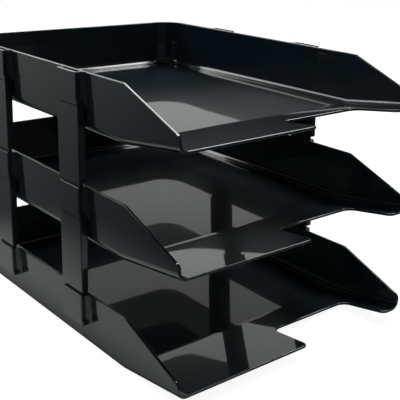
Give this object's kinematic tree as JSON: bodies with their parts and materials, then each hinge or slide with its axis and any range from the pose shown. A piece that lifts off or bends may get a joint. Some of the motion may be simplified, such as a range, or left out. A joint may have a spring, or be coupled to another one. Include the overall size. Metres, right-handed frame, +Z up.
{
  "type": "letter tray stack",
  "caption": "Stack of open-front letter trays on plug-in risers; each tray has an upswept front with a finger recess, and lifts off.",
  "frame": {"origin": "centre of the stack's footprint, on the table under the bottom tray's floor", "axes": "+Z up, +Y towards the closed back wall (paper goes in along +Y from the open front), +X to the right seen from the front"},
  "size_m": [0.2694, 0.365, 0.24],
  "materials": {
    "tray_plastic": "glossy black moulded polystyrene",
    "riser_plastic": "black moulded polystyrene, a little less glossy"
  },
  "bodies": {
    "bottom_stage": {"bottom_tray": "tray_plastic", "lower_riser_front_right": "riser_plastic", "lower_riser_front_left": "riser_plastic", "lower_riser_rear_right": "riser_plastic", "lower_riser_rear_left": "riser_plastic"},
    "middle_stage": {"middle_tray": "tray_plastic", "upper_riser_front_right": "riser_plastic", "upper_riser_front_left": "riser_plastic", "upper_riser_rear_right": "riser_plastic", "upper_riser_rear_left": "riser_plastic"},
    "top_stage": {"top_tray": "tray_plastic"}
  },
  "joints": [
    {"name": "middle_tray_lift", "type": "slide", "parent": "bottom_stage", "child": "middle_stage", "axis": [0, 0, 1], "range_m": [0, 0.04]},
    {"name": "top_tray_lift", "type": "slide", "parent": "middle_stage", "child": "top_stage", "axis": [0, 0, 1], "range_m": [0, 0.04]}
  ]
}
